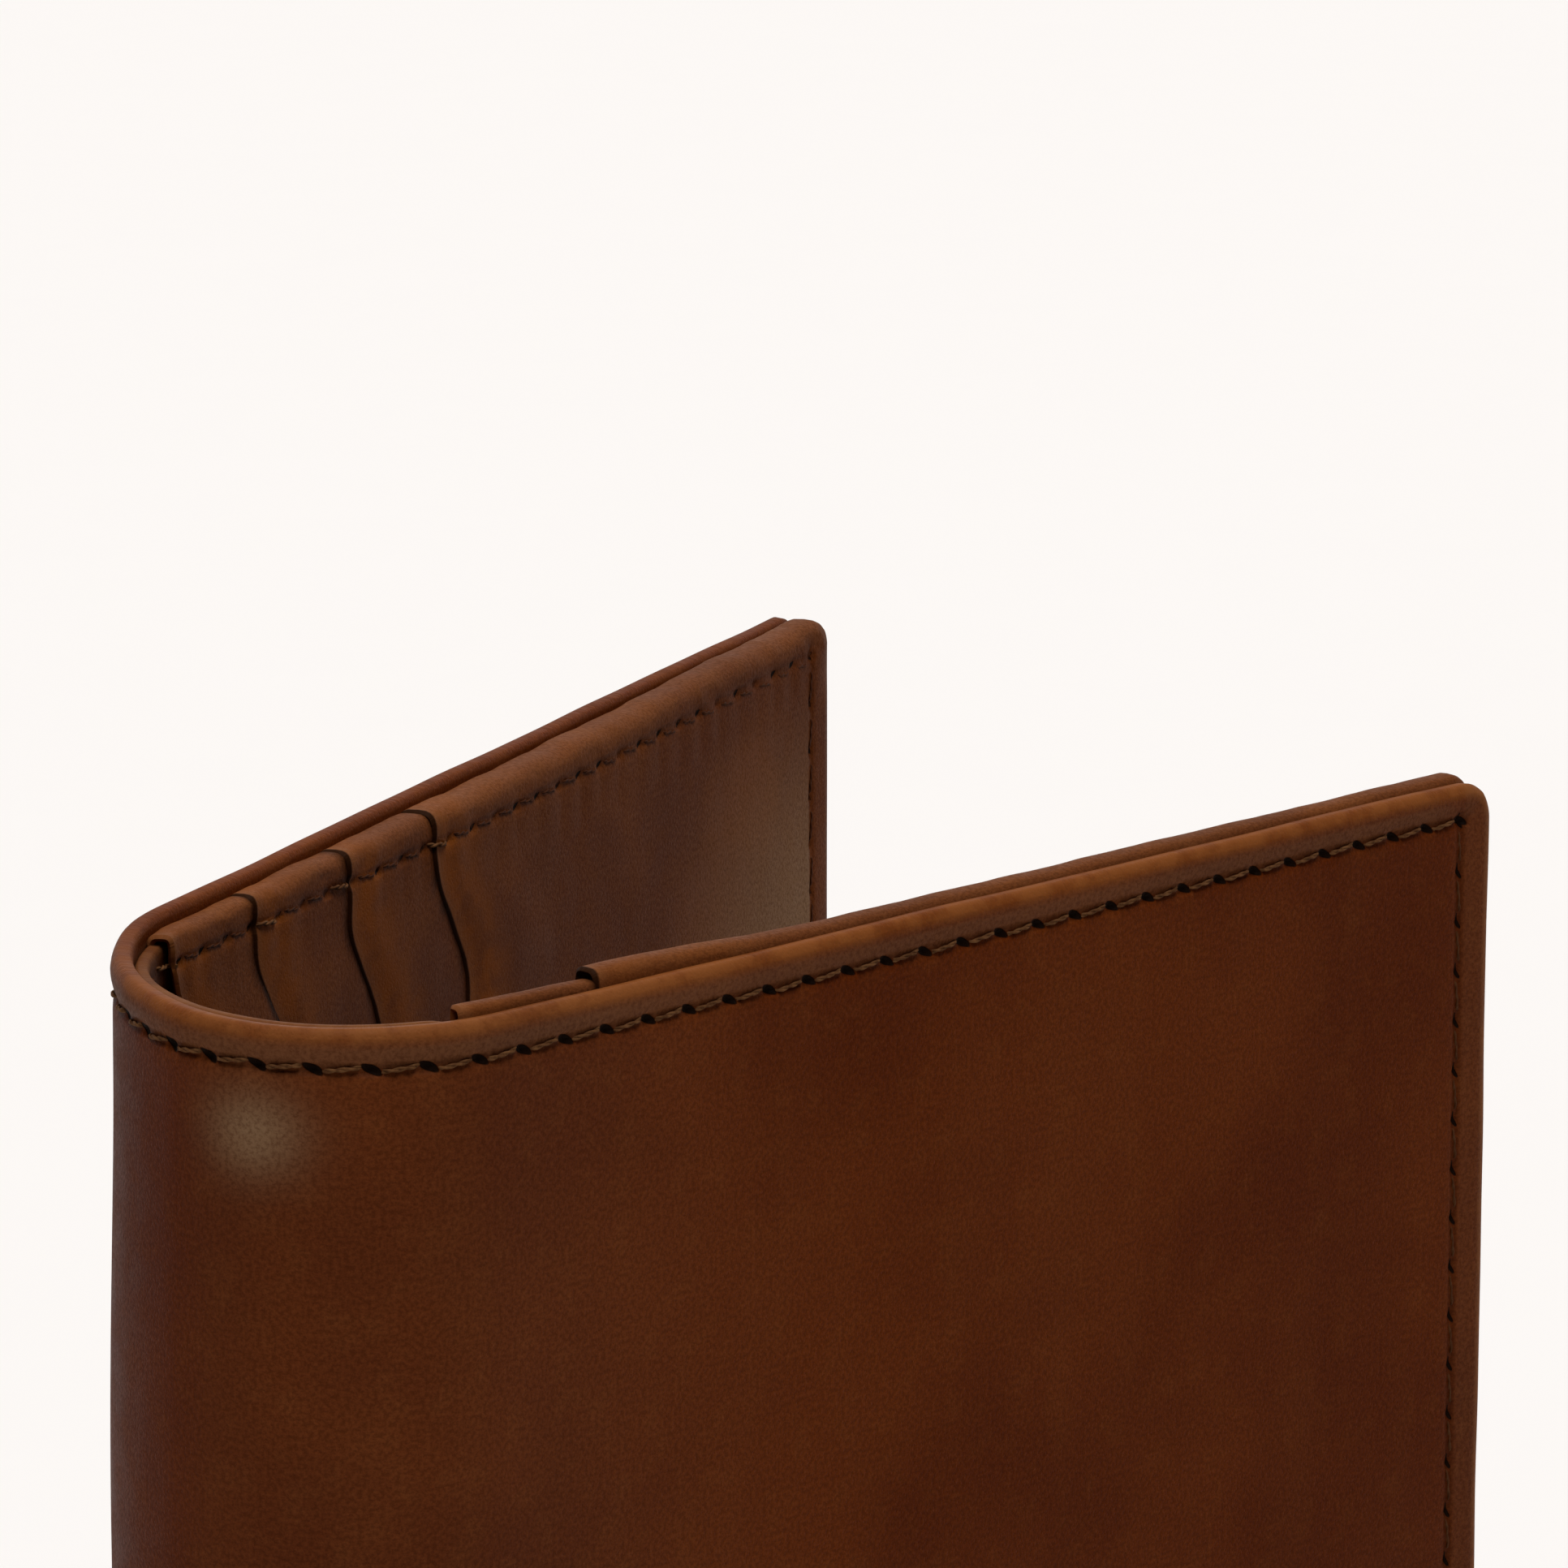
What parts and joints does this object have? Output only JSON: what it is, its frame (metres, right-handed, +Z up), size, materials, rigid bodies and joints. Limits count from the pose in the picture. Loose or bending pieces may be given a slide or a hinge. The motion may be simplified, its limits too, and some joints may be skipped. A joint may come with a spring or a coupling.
{
  "type": "bifold wallet",
  "caption": "Leather bifold wallet standing half open, with stepped card pockets in one half, note pockets in the other, turned edges and a soft spine.",
  "frame": {"origin": "bottom centre of the box round the half-open wallet, which stands on its lower edges", "axes": "+Z up along the spine, +X from the spine towards the open side along the line midway between the halves, back half with the card pockets at +Y, front half at -Y"},
  "size_m": [0.0936, 0.0542, 0.115],
  "materials": {
    "cover_leather": "smooth vegetable-tanned leather, satin",
    "lining_leather": "thin smooth leather, satin",
    "pocket_leather": "thin smooth leather, satin",
    "board": "matt stiffening board",
    "thread": "waxed twisted thread"
  },
  "bodies": {
    "back_half": {"cover_back": "cover_leather", "stiffener_back": "board", "lining_back": "lining_leather", "card_pocket_1": "pocket_leather", "card_pocket_2": "pocket_leather", "card_pocket_3": "pocket_leather", "card_pocket_4": "pocket_leather", "thread_back": "thread"},
    "spine_strip_1": {"cover_spine_1": "cover_leather", "lining_spine_1": "lining_leather", "thread_spine_1": "thread"},
    "spine_strip_2": {"cover_spine_2": "cover_leather", "lining_spine_2": "lining_leather", "thread_spine_2": "thread"},
    "spine_strip_3": {"cover_spine_3": "cover_leather", "lining_spine_3": "lining_leather", "thread_spine_3": "thread"},
    "front_half": {"cover_front": "cover_leather", "stiffener_front": "board", "lining_front": "lining_leather", "note_pocket_rear": "pocket_leather", "note_pocket_front": "pocket_leather", "thread_front": "thread"}
  },
  "joints": [
    {"name": "fold_1", "type": "hinge", "parent": "back_half", "child": "spine_strip_1", "pos_m": [-0.03478, 0.00976, 0.0575], "axis": [0, 0, 1], "range_deg": [-28, 5.94]},
    {"name": "fold_2", "type": "hinge", "parent": "spine_strip_1", "child": "spine_strip_2", "pos_m": [-0.04183, 0.00404, 0.0575], "axis": [0, 0, 1], "range_deg": [-28, 5.94]},
    {"name": "fold_3", "type": "hinge", "parent": "spine_strip_2", "child": "spine_strip_3", "pos_m": [-0.04523, -0.00395, 0.0575], "axis": [0, 0, 1], "range_deg": [-51, 10.81]},
    {"name": "fold_4", "type": "hinge", "parent": "spine_strip_3", "child": "front_half", "pos_m": [-0.04133, -0.01128, 0.0575], "axis": [0, 0, 1], "range_deg": [-51, 10.81]}
  ],
  "couplings": [
    {"joint": "fold_2", "follows": "fold_1", "ratio": 1},
    {"joint": "fold_3", "follows": "fold_1", "ratio": 1.8214},
    {"joint": "fold_4", "follows": "fold_1", "ratio": 1.8214}
  ]
}
